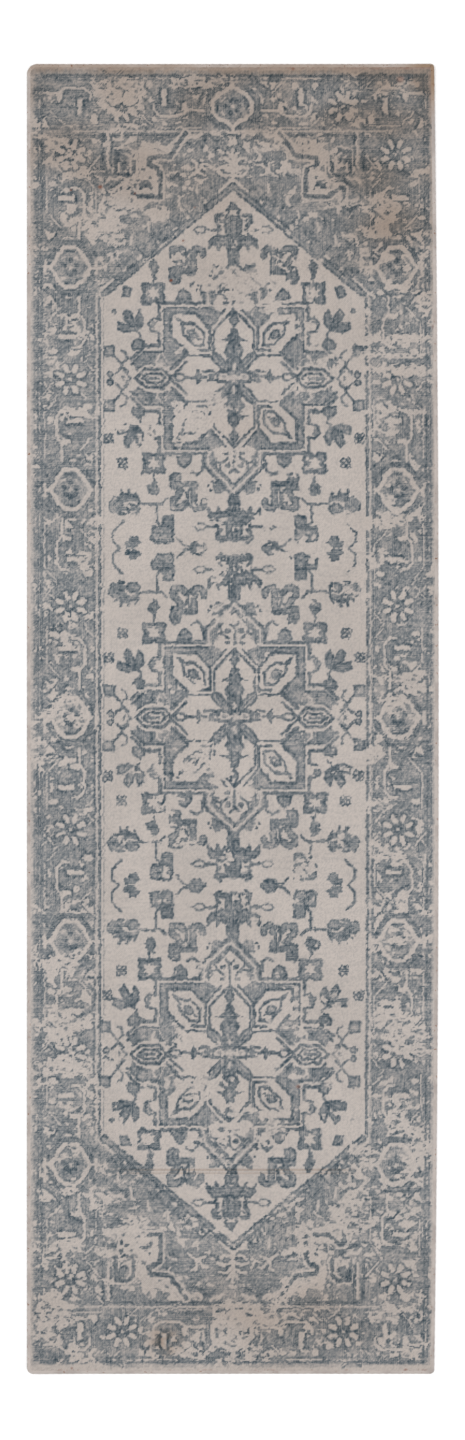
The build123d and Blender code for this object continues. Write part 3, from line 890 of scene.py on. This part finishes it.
class Surface:
    """A material under construction: its nodes, made one at a time and joined up."""

    def __init__(self, name, roughness=0.9, specular=0.15, sheen=0.0):
        self.material = bpy.data.materials.new(name)
        self.material.use_nodes = True
        self.nodes, self.links = self.material.node_tree.nodes, self.material.node_tree.links
        self.nodes.clear()
        out = self.nodes.new("ShaderNodeOutputMaterial")
        self.shader = self.nodes.new("ShaderNodeBsdfPrincipled")
        self.links.new(self.shader.outputs[0], out.inputs[0])
        self.shader.inputs["Roughness"].default_value = roughness
        self.shader.inputs["Specular IOR Level"].default_value = specular
        self.shader.inputs["Sheen Weight"].default_value = sheen
        self.place = self.nodes.new("ShaderNodeTexCoord").outputs["Object"]

    def join(self, value, socket):
        """Links a socket, or sets a plain value."""
        if isinstance(value, bpy.types.NodeSocket):
            self.links.new(value, socket)
        else:
            socket.default_value = value

    def math(self, kind, a, b=0.0, c=0.0, clamp=False):
        """A sum, product or other arithmetic of up to three values."""
        node = self.nodes.new("ShaderNodeMath")
        node.operation, node.use_clamp = kind, clamp
        for value, socket in zip((a, b, c), node.inputs):
            self.join(value, socket)
        return node.outputs[0]

    def stretched(self, x, y, z):
        """Places scaled by a different number along each axis."""
        node = self.nodes.new("ShaderNodeMapping")
        node.inputs["Scale"].default_value = (x, y, z)
        self.links.new(self.place, node.inputs[0])
        return node.outputs[0]

    def noise(self, scale, detail=2.0, rough=0.5, at=None):
        """Cloudy noise from 0 to 1, finer as the scale grows."""
        node = self.nodes.new("ShaderNodeTexNoise")
        node.inputs["Scale"].default_value = scale
        node.inputs["Detail"].default_value = detail
        node.inputs["Roughness"].default_value = rough
        self.links.new(at or self.place, node.inputs["Vector"])
        return node.outputs[0]

    def step(self, value, low, high, bottom=0.0, top=1.0):
        """Value eased from bottom to top as it goes from low to high."""
        node = self.nodes.new("ShaderNodeMapRange")
        node.interpolation_type = "SMOOTHSTEP"
        for number, socket in zip((value, low, high, bottom, top), node.inputs):
            self.join(number, socket)
        return node.outputs[0]

    def mix(self, amount, a, b, kind="MIX"):
        """A colour between two, from the first at 0 to the second at 1."""
        node = self.nodes.new("ShaderNodeMix")
        node.data_type, node.blend_type = "RGBA", kind
        for value, socket in ((amount, node.inputs[0]), (a, node.inputs[6]), (b, node.inputs[7])):
            self.join(value, socket)
        return node.outputs[2]

    def ramp(self, value, *stops):
        """Colours along a value: each stop is (position, colour)."""
        node = self.nodes.new("ShaderNodeValToRGB")
        elements = node.color_ramp.elements
        while len(elements) < len(stops):
            elements.new(0.5)
        for element, (position, colour) in zip(elements, stops):
            element.position, element.color = position, colour
        self.links.new(value, node.inputs[0])
        return node.outputs[0]

    def split(self):
        """The x, y and z of a place on the rug, in metres."""
        node = self.nodes.new("ShaderNodeSeparateXYZ")
        self.links.new(self.place, node.inputs[0])
        return node.outputs

    def weave(self, pitch, turn=0.0):
        """Heights of an over-and-under weave of threads that far apart."""
        x, y, _ = self.split()
        rate = math.pi / pitch
        sheared = self.math("ADD", x, self.math("MULTIPLY", y, turn))
        across = self.math("SINE", self.math("MULTIPLY", sheared, rate))
        sheared = self.math("SUBTRACT", y, self.math("MULTIPLY", x, turn))
        along = self.math("SINE", self.math("MULTIPLY", sheared, rate))
        return self.math("MULTIPLY_ADD", self.math("MULTIPLY", across, along), 0.5, 0.5)

    def bump(self, height, strength, distance):
        """Roughens the surface by a height map."""
        node = self.nodes.new("ShaderNodeBump")
        node.inputs["Strength"].default_value = strength
        node.inputs["Distance"].default_value = distance
        self.links.new(height, node.inputs["Height"])
        self.links.new(node.outputs[0], self.shader.inputs["Normal"])

    def colour(self, socket):
        """Sets the base colour, and gives back the finished material."""
        self.links.new(socket, self.shader.inputs["Base Color"])
        return self.material


def seen(r, g, b):
    """The surface colour that shows as this one, 0 to 255, under the studio's light."""
    return tuple(((c / 255 + 0.055) / 1.055) ** 2.4 / LIGHT for c in (r, g, b)) + (1.0,)


def grey(value):
    """An opaque grey."""
    return (value, value, value, 1.0)


def face_material():
    """Cream cloth with blue-grey dye, laid on thread by thread, and some brown dirt with painted shade.
    """
    s = Surface("dyed_face", sheen=0.12)
    dye = s.nodes.new("ShaderNodeAttribute")
    dye.attribute_name = "dye"
    parts = s.nodes.new("ShaderNodeSeparateColor")
    s.links.new(dye.outputs["Color"], parts.inputs[0])
    tone, soil_and_shade, rust = parts.outputs
    weave = s.weave(KNOT)
    fibre = s.noise(900, 3)
    weft = s.noise(1, 2, 0.6, s.stretched(60, 900, 60))
    warp = s.noise(1, 2, 0.6, s.stretched(900, 60, 60))
    threads = s.math("ADD", weft, warp)
    uneven = s.math("MULTIPLY_ADD", s.math("SUBTRACT", threads, 1.0), 0.10, tone, clamp=True)
    bare, blue, darkest = seen(198, 188, 181), seen(127, 131, 134), seen(50, 70, 82)
    dyed = s.ramp(uneven, (0.0, bare), (0.5, blue), (1.0, darkest))
    cloud = s.step(s.noise(7, 4), 0.35, 0.7, 0.93, 1.03)
    yarn = s.math("MULTIPLY", cloud, s.math("MULTIPLY_ADD", threads, 0.09, 0.91))
    yarn = s.math("MULTIPLY", yarn, s.math("MULTIPLY_ADD", weave, 0.05, 0.975))
    shaded = s.mix(1.0, dyed, s.ramp(yarn, (0.0, grey(0.0)), (1.0, grey(1.0))), "MULTIPLY")
    # the second sheet tints the cloth brown, for dirt and for painted shade alike
    brown, rust_red = (0.60, 0.51, 0.44, 1.0), seen(118, 62, 38)
    soiled_and_shaded = s.mix(1.0, shaded, s.mix(soil_and_shade, grey(1.0), brown), "MULTIPLY")
    rusted = s.mix(rust, soiled_and_shaded, rust_red)
    s.bump(s.math("ADD", s.math("MULTIPLY", weave, 0.7), s.math("MULTIPLY", fibre, 0.5)), 0.5, 0.0006)
    return s.colour(rusted)


def yarn_material(name, colour, dark, stained):
    """Serging yarn: fibres, darker patches of dirt, and brown stains near one corner."""
    s = Surface(name, sheen=0.2)
    fibre = s.noise(1400, 3)
    patch = s.step(s.noise(28, 3), 0.42, 0.62)
    x, y, _ = s.split()
    near_corner = s.math("MULTIPLY", s.step(x, 0.28, 0.36), s.step(y, 1.10, 1.19))
    near_head = s.math("MULTIPLY", s.step(y, 1.19, 1.212), s.step(s.noise(16, 3), 0.3, 0.6, 0.35, 0.8))
    stain = s.math("MAXIMUM", s.math("MULTIPLY", near_corner, 0.95), s.math("MULTIPLY", near_head, 0.6))
    specks = s.math("MULTIPLY", s.step(s.noise(230, 2), 0.66, 0.72), stained)
    base = s.mix(s.math("MULTIPLY", patch, 0.6), colour, dark)
    base = s.mix(s.math("MULTIPLY", s.step(fibre, 0.3, 0.7), 0.25), base, dark)
    base = s.mix(stain, base, seen(156, 130, 106))
    s.bump(fibre, 0.4, 0.0003)
    return s.colour(s.mix(specks, base, seen(132, 88, 60)))


def woven_material(name, pitch, colour, dark, turn=0.0, rough=0.92, sheen=0.1):
    """A plain woven cloth with threads that far apart."""
    s = Surface(name, roughness=rough, sheen=sheen)
    weave = s.weave(pitch, turn)
    slub = s.noise(1, 3, 0.6, s.stretched(40, 700, 40))
    warp = s.noise(1, 3, 0.6, s.stretched(700, 40, 40))
    mottle = s.math("MULTIPLY", s.math("ADD", slub, warp), 0.5)
    over = s.math("MULTIPLY", weave, 0.45)
    amount = s.math("ADD", over, s.step(mottle, 0.35, 0.65, 0.0, 0.5), clamp=True)
    s.bump(s.math("ADD", weave, s.math("MULTIPLY", s.noise(1200, 2), 0.3)), 0.6, 0.0004)
    return s.colour(s.mix(amount, dark, colour))


def latex_material():
    """A dry, slightly crazed rubber coat."""
    s = Surface("latex_coat", roughness=0.6, specular=0.35)
    cells = s.nodes.new("ShaderNodeTexVoronoi")
    cells.inputs["Scale"].default_value = 260
    s.links.new(s.place, cells.inputs["Vector"])
    mottle = s.step(s.noise(60, 4), 0.35, 0.65)
    s.bump(cells.outputs[0], 0.3, 0.0003)
    return s.colour(s.mix(mottle, seen(214, 208, 190), seen(196, 186, 162)))


def floor_material():
    """A pale, very slightly uneven studio floor."""
    s = Surface("pale_floor", roughness=0.85)
    tint = s.step(s.noise(3, 3), 0.3, 0.7)
    return s.colour(s.mix(tint, grey(0.975), grey(0.965)))


# ---------------------------------------------------------------- pieces

KNOT_RELIEF = 0.00012  # how far every other knot of the face stands up
UNDER_GRID = (60, 190)  # columns and rows of the layers under the face
TAPE_GRID = (250, 8)
LAYER_GAP = 0.0001  # between one layer and the next
FLOOR_GAP = 0.0003  # under the lowest layer, so that its stitches clear the floor
WRAP_PITCH = 0.0019  # along an edge, from one wrap of the serging yarn to the next
WRAP_HEIGHT = 0.00055  # of the ridge of a wrap, which starts WRAP_SINK below the edge's own outline
WRAP_SINK = 0.00035
WRAP_SLANT = 0.9  # wraps that the yarn moves on or back between the edge's middle and its border
WOBBLE_STEP = 0.006  # along an edge, from one uneven wrap to the next
CORD_RADIUS = 0.0014
CORD_STRANDS = 3
STITCH_MARGIN = 0.01  # bare tape at each end of a row of stitches

def mesh_piece(name, vertices, faces, mat, slot, *replaced):
    """A piece of the rug made of these vertices and quads, and the CAD node it stands for, if any."""
    mesh = bpy.data.meshes.new(name)
    vertices, faces = np.asarray(vertices, float), np.asarray(faces, int)
    mesh.vertices.add(len(vertices))
    mesh.vertices.foreach_set("co", vertices.ravel())
    mesh.loops.add(faces.size)
    mesh.loops.foreach_set("vertex_index", faces.ravel())
    mesh.polygons.add(len(faces))
    mesh.polygons.foreach_set("loop_start", np.arange(0, faces.size, faces.shape[1]))
    mesh.update(calc_edges=True)
    mesh.polygons.foreach_set("use_smooth", np.full(len(faces), True))
    mesh.materials.append(mat)
    piece = bpy.data.objects.new(name, mesh)
    bpy.context.scene.collection.objects.link(piece)
    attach(piece, BODY)
    if replaced:
        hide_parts(*replaced)
    return piece


def plan_grid(columns, rows, inset, y_low, y_high):
    """Points in rows and columns between two heights of the plan, with the rug's round corners."""
    v = np.linspace(y_low, y_high, rows + 1)[:, None]
    u = np.linspace(0, 1, columns + 1)[None, :]
    left, right = side_x(v, -1, inset), side_x(v, 1, inset)
    x = left + (right - left) * u
    y = np.broadcast_to(v, x.shape).copy()
    dropped = np.zeros(x.shape, bool)
    end = HALF_LENGTH - inset
    for (side, way), radius in CORNERS.items():
        radius -= inset
        if radius < 0.0005:
            continue  # too small to show
        cx = side_x(way * end, side, inset) - side * radius
        cy = way * (end - radius)
        away = np.hypot(x - cx, y - cy)
        out = ((x - cx) * side > 0) & ((y - cy) * way > 0) & (away > radius)
        dropped |= out
        scale = np.where(out, radius / np.maximum(away, 1e-9), 1)
        x, y = np.where(out, cx + (x - cx) * scale, x), np.where(out, cy + (y - cy) * scale, y)
    return x, y, dropped


def grid_faces(shape, dropped=None, start=0, flip=False):
    """The quads of a grid of points, apart from those whose corners were all dropped."""
    index = start + np.arange(shape[0] * shape[1]).reshape(shape)
    corners = [index[:-1, :-1], index[:-1, 1:], index[1:, 1:], index[1:, :-1]]
    quads = np.stack(corners[::-1] if flip else corners, -1).reshape(-1, 4)
    if dropped is None:
        return quads
    gone = dropped[:-1, :-1] & dropped[:-1, 1:] & dropped[1:, 1:] & dropped[1:, :-1]
    return quads[~gone.ravel()]


def rim_faces(faces, count):
    """Quads that join the open rim of a lower sheet to the same sheet count points further on."""
    edges = np.concatenate([faces[:, [i, (i + 1) % 4]] for i in range(4)])
    both_ways = edges[:, 0] * (2 * count) + edges[:, 1]
    reversed_ways = edges[:, 1] * (2 * count) + edges[:, 0]
    rim = edges[~np.isin(both_ways, reversed_ways)]
    return np.stack((rim[:, 0], rim[:, 1], rim[:, 1] + count, rim[:, 0] + count), -1)


def slab(name, x, y, dropped, low, high, mat, slot, *replaced):
    """A closed layer of cloth over a grid of points, that follows the waves of the rug."""
    wave = lift(x, y)
    count = x.size
    bottom = np.stack((x, y, low + wave), -1).reshape(-1, 3)
    top = np.stack((x, y, high + wave), -1).reshape(-1, 3)
    lower, upper = grid_faces(x.shape, dropped, 0, True), grid_faces(x.shape, dropped, count)
    around = rim_faces(lower, count)[:, ::-1]
    faces = np.concatenate((lower, upper, around))
    used, faces = np.unique(faces, return_inverse=True)
    vertices = np.concatenate((bottom, top))[used]
    return mesh_piece(name, vertices, faces.reshape(-1, 4), mat, slot, *replaced)


def face_piece(mat):
    """The dyed face: a dense grid with a point to a knot, whose rim turns down to the ground weave."""
    columns = round((FACE_HIGH.x - FACE_LOW.x) / KNOT)
    rows = round((FACE_HIGH.y - FACE_LOW.y) / KNOT)
    loom = weave_design(columns, rows)
    x, y, dropped = plan_grid(columns, rows, BODY_INSET, FACE_LOW.y, FACE_HIGH.y)
    relief = KNOT_RELIEF * (np.indices(x.shape).sum(0) % 2)
    top = np.stack((x, y, FACE_HIGH.z - KNOT_RELIEF + relief + lift(x, y)), -1).reshape(-1, 3)
    foot = np.stack((x, y, FACE_LOW.z + lift(x, y)), -1).reshape(-1, 3)
    faces = grid_faces(x.shape, dropped)
    around = rim_faces(faces, x.size)[:, ::-1]
    faces = np.concatenate((faces, around))
    used, faces = np.unique(faces, return_inverse=True)
    vertices = np.concatenate((top, foot))[used]
    piece = mesh_piece("woven_face", vertices, faces.reshape(-1, 4), mat, "pile", "pile_face")
    # the dye attribute holds the dye tone, then brown dirt with painted shade, then rust
    colour = np.ones((loom.tone.size, 4))
    colour[:, 0] = weather(loom).ravel()
    colour[:, 1], colour[:, 2] = (channel.ravel() for channel in soil_shade_and_rust(loom))
    dye = piece.data.attributes.new("dye", "FLOAT_COLOR", "POINT")
    dye.data.foreach_set("color", np.concatenate((colour, colour))[used].ravel())
    return piece


def edge_path(side, way, spacing):
    """Points along one edge, each with the direction out of the rug there.

    A long edge is named by its side, and takes its two corners with it. For an end, side is 0 and way
    names it: 1 for the head, -1 for the foot.
    """
    points, outs = [], []

    def corner(s, w, from_side):
        """Adds the arc of one corner, which starts at the side or ends there."""
        radius = CORNERS[s, w]
        cx = float(side_x(w * HALF_LENGTH, s, 0)) - s * radius
        cy = w * (HALF_LENGTH - radius)
        turns = np.linspace(0, math.pi / 2, max(4, int(radius * math.pi / 2 / spacing)))
        for turn in turns if from_side else turns[::-1]:
            out = (s * math.cos(turn), w * math.sin(turn))
            points.append((cx + out[0] * radius, cy + out[1] * radius))
            outs.append(out)

    if side:
        corner(side, -1, False)
        low, high = (w * (HALF_LENGTH - CORNERS[side, w]) for w in (-1, 1))
        y = np.arange(low + spacing, high - spacing / 2, spacing)
        x = side_x(y, side, 0)
        points += list(zip(x, y))
        outs += [(side, 0)] * len(y)
        corner(side, 1, True)
    else:
        left, right = (float(side_x(way * HALF_LENGTH, s, 0)) - s * CORNERS[s, way] for s in (-1, 1))
        x = np.arange(left, right, spacing)
        points = [(px, way * HALF_LENGTH) for px in x]
        outs = [(0, way)] * len(x)
    return np.array(points), np.array(outs)


def serging_piece(name, node, side, way, mat):
    """Yarn wrapped along one edge: a ridge to each wrap, slanting round the edge."""
    points, outs = edge_path(side, way, WRAP_PITCH / 5)
    # the section, as how far in from the edge and how high: from the face, round the edge, to the back
    radius = SERGING_TOP / 2
    profile = [(0.0066, FACE_HIGH.z - 0.0002), (0.0058, FACE_HIGH.z + 0.0002)]
    profile.append((0.0044, SERGING_TOP + 0.0003))
    for turn in np.linspace(75, -90, 9):
        angle = math.radians(turn)
        profile.append((radius - radius * math.cos(angle), radius + radius * math.sin(angle)))
    profile += [(0.0042, 0.0), (0.0052, 0.0002)]
    profile = np.array(profile)
    along = np.concatenate(([0], np.cumsum(np.hypot(*np.diff(points, axis=0).T))))
    slant = np.linspace(-WRAP_SLANT, WRAP_SLANT, len(profile))
    source = np.random.default_rng(len(name) + 31 * (side + 2) + 7 * (way + 2))
    marks = np.arange(0, along[-1] + 0.01, WOBBLE_STEP)
    uneven = source.normal(0, 0.16, int(along[-1] / WOBBLE_STEP) + 3)[: len(marks)]
    wobble = np.interp(along, marks, uneven)
    phase = along[:, None] / WRAP_PITCH + slant[None, :] + wobble[:, None]
    ridge = np.abs(np.sin(math.pi * phase)) ** 0.7
    loose = 1 + 0.35 * np.sin(math.pi * np.floor(phase) * 1.7)
    depth = WRAP_HEIGHT * ridge * loose - WRAP_SINK
    middle = np.array((radius, radius))
    away = profile - middle
    away /= np.maximum(np.hypot(*away.T), 1e-9)[:, None]
    inset = profile[None, :, 0] + depth * away[None, :, 0]
    height = np.maximum(profile[None, :, 1] + depth * away[None, :, 1], 0.0)
    x = points[:, 0:1] - outs[:, 0:1] * inset
    y = points[:, 1:2] - outs[:, 1:2] * inset
    z = height + lift(x, y)
    vertices = np.stack((x, y, z), -1).reshape(-1, 3)
    faces = grid_faces(x.shape, None, 0, flip=(side if side else -way) > 0)
    return mesh_piece(name, vertices, faces, mat, "serging_yarn", node)


def cord_piece(name, node, side, mat):
    """The twisted cord inside a side's serging: three strands that wind round each other."""
    low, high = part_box(node)
    y = np.arange(low.y, high.y, 0.004)
    inset = HALF_WIDTH - abs(low.x if side < 0 else high.x) + CORD_RADIUS
    turn = np.linspace(0, 2 * math.pi, 13)[:-1]
    twist = 260  # radians to a metre
    swell = 0.82 + 0.18 * np.abs(np.cos(CORD_STRANDS / 2 * (turn[None, :] + y[:, None] * twist)))
    x = side_x(y, side, inset)[:, None] + swell * CORD_RADIUS * np.cos(turn)[None, :]
    z = (low.z + high.z) / 2 + swell * CORD_RADIUS * np.sin(turn)[None, :]
    y = np.broadcast_to(y[:, None], x.shape)
    x, y, z = (np.concatenate((a, a[:, :1]), 1) for a in (x, y, z))
    vertices = np.stack((x, y, z + lift(x, y)), -1).reshape(-1, 3)
    return mesh_piece(name, vertices, grid_faces(x.shape), mat, "cord", node)


def layer(name, node, mat, slot, under=0.0, over=0.0, inset=None, grid=UNDER_GRID):
    """A layer of cloth as wide and long as its node, with these gaps under and over it."""
    low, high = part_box(node)
    x, y, dropped = plan_grid(*grid, BODY_INSET if inset is None else inset, low.y, high.y)
    return slab(name, x, y, dropped, low.z + under, high.z - over, mat, slot, node)


def stitch_row(name, start, end, z, mat, slot):
    """A row of stitches on the underside, each a short thread that dips into the cloth at its ends."""
    pitch, length, thick, dip = 0.008, 0.0055, 0.0007, 0.0004
    start, end = np.array(start), np.array(end)
    span = np.hypot(*(end - start))
    along = (end - start) / span
    across = np.array((-along[1], along[0]))
    turn = np.linspace(0, 2 * math.pi, 7)
    bend = np.linspace(-1, 1, 7)
    vertices, faces = [], []
    for i in range(int(span / pitch)):
        middle = start + along * pitch * (i + 0.5)
        spine = middle + bend[:, None] * along * length / 2
        rise = z + dip * bend**4
        swell = thick / 2 * (1 - 0.45 * bend**6)
        ring = spine[:, None, :] + across * (swell[:, None] * np.cos(turn))[..., None]
        up = rise[:, None] + swell[:, None] * np.sin(turn) + lift(ring[..., 0], ring[..., 1])
        faces.append(grid_faces((7, 7), None, 49 * len(vertices)))
        vertices.append(np.concatenate((ring, up[..., None]), -1).reshape(-1, 3))
    return mesh_piece(name, np.concatenate(vertices), np.concatenate(faces), mat, slot)


def label_piece(mat):
    """The blank care label: a thin cloth with soft corners and a shallow groove in its underside near two
    opposite edges.
    """
    low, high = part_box("care_label")
    u, v = np.meshgrid(np.linspace(-1, 1, 41), np.linspace(-1, 1, 31))
    pinch = 1 - 0.012 * (np.abs(u) ** 12 * np.abs(v) ** 12)
    x = (low.x + high.x) / 2 + u * (high.x - low.x) / 2 * pinch
    y = (low.y + high.y) / 2 + v * (high.y - low.y) / 2 * pinch
    hem = 0.00012 * (np.abs(np.abs(v) - 0.82) < 0.05)
    dropped = np.zeros(x.shape, bool)
    return slab("care_label_blank", x, y, dropped, low.z + hem, high.z, mat, "label", "care_label")


# ---------------------------------------------------------------- camera, floor and light

VIEW_SHARE = 1.0992  # the height of the view, over the length of the rug
FLOOR_REACH = 40  # each way from the middle: past the horizon of a low view
FLOOR_DROP = 0.0004  # of the floor, so that it doesn't meet the underside of the rug
LAMP_SIZE = (4, 5)
SKY_STRENGTH = 0.71

def camera():
    """Straight down on the rug, from far enough that its edges stay parallel."""
    data = bpy.data.cameras.new("camera")
    data.lens = 85
    data.sensor_width = 36
    data.clip_end = 100
    eye = bpy.data.objects.new("camera", data)
    view_height = HALF_LENGTH * 2 * VIEW_SHARE
    distance = view_height / 2 / (data.sensor_width / 2 / data.lens)
    eye.location = (-0.0005, -0.0019, distance + HIGH.z)
    bpy.context.scene.collection.objects.link(eye)
    bpy.context.scene.camera = eye


def area_light(name, power, spot):
    """A big soft lamp that points at the middle of the rug."""
    data = bpy.data.lights.new(name, "AREA")
    data.shape = "RECTANGLE"
    data.size, data.size_y = LAMP_SIZE
    data.energy = power
    lamp = bpy.data.objects.new(name, data)
    lamp.location = spot
    lamp.rotation_euler = (-Vector(spot)).to_track_quat("-Z", "Y").to_euler()
    bpy.context.scene.collection.objects.link(lamp)


def studio():
    """A plain pale floor under two soft lamps and an even sky."""
    mesh = bpy.data.meshes.new("floor")
    corners = [(x * FLOOR_REACH, y * FLOOR_REACH, 0) for x, y in ((-1, -1), (1, -1), (1, 1), (-1, 1))]
    mesh.from_pydata(corners, [], [(0, 1, 2, 3)])
    mesh.materials.append(floor_material())
    floor = bpy.data.objects.new("floor", mesh)
    floor.location.z = -FLOOR_DROP
    bpy.context.scene.collection.objects.link(floor)
    area_light("key", 150, (-2.2, 0.8, 5.4))
    area_light("fill", 108, (2.4, -1.2, 5.4))
    world = bpy.data.worlds.new("studio")
    world.use_nodes = True
    sky = world.node_tree.nodes["Background"]
    sky.inputs[0].default_value = grey(1.0)
    sky.inputs[1].default_value = SKY_STRENGTH
    bpy.context.scene.world = world
    bpy.context.scene.view_settings.view_transform = "Standard"


def rug():
    """Every piece, from the face down, and what each sheet of cloth is."""
    face = face_piece(face_material())
    canvas = woven_material("backing_canvas", 0.0016, seen(196, 184, 160), seen(150, 136, 112))
    plain = woven_material("ground_cloth", 0.0011, seen(190, 178, 158), seen(150, 138, 118))
    twill = woven_material("end_tape_twill", 0.0012, seen(200, 190, 172), seen(150, 140, 122), turn=0.6)
    cotton = woven_material("cord_cotton", 0.0008, seen(206, 200, 186), seen(166, 156, 138))
    white, shade = seen(244, 242, 238), seen(222, 219, 212)
    satin = woven_material("label_satin", 0.0004, white, shade, rough=0.55, sheen=0.25)
    thread = yarn_material("stitching_thread", seen(206, 198, 182), seen(160, 150, 132), 0.0)
    # the serging colours are painted lighter than the yarn's own: a painted lightening that offsets the
    # shade on the rounded outer side of the wraps
    yarn = yarn_material("serging_yarn", seen(200, 190, 184), seen(166, 156, 151), 1.0)

    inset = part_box("ground_weave")[0].x - LOW.x
    ground = layer("ground_weave_cloth", "ground_weave", plain, "ground", over=LAYER_GAP, inset=inset)
    coat = layer("latex_coat_layer", "latex_coat", latex_material(), "latex", LAYER_GAP, LAYER_GAP)
    backing = layer("backing_canvas", "backing_cloth", canvas, "backing", FLOOR_GAP)

    edges = [
        serging_piece("serging_wraps_left", "serging_left", -1, 0, yarn),
        serging_piece("serging_wraps_right", "serging_right", 1, 0, yarn),
        serging_piece("serging_wraps_head", "serging_head", 0, 1, yarn),
        serging_piece("serging_wraps_foot", "serging_foot", 0, -1, yarn),
        cord_piece("twisted_cord_left", "side_cord_left", -1, cotton),
        cord_piece("twisted_cord_right", "side_cord_right", 1, cotton),
    ]
    under = [label_piece(satin), coat]
    for word in ("head", "foot"):
        node = f"end_tape_{word}"
        low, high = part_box(node)
        under.append(layer(f"end_tape_strip_{word}", node, twill, "tape", FLOOR_GAP, grid=TAPE_GRID))
        for part, share in (("inner", 0.15), ("outer", 0.85)):
            y = low.y + (high.y - low.y) * share
            start, end = (low.x + STITCH_MARGIN, y), (high.x - STITCH_MARGIN, y)
            name = f"tape_stitches_{word}_{part}"
            under.append(stitch_row(name, start, end, FLOOR_GAP, thread, "tape"))


camera()
studio()
rug()
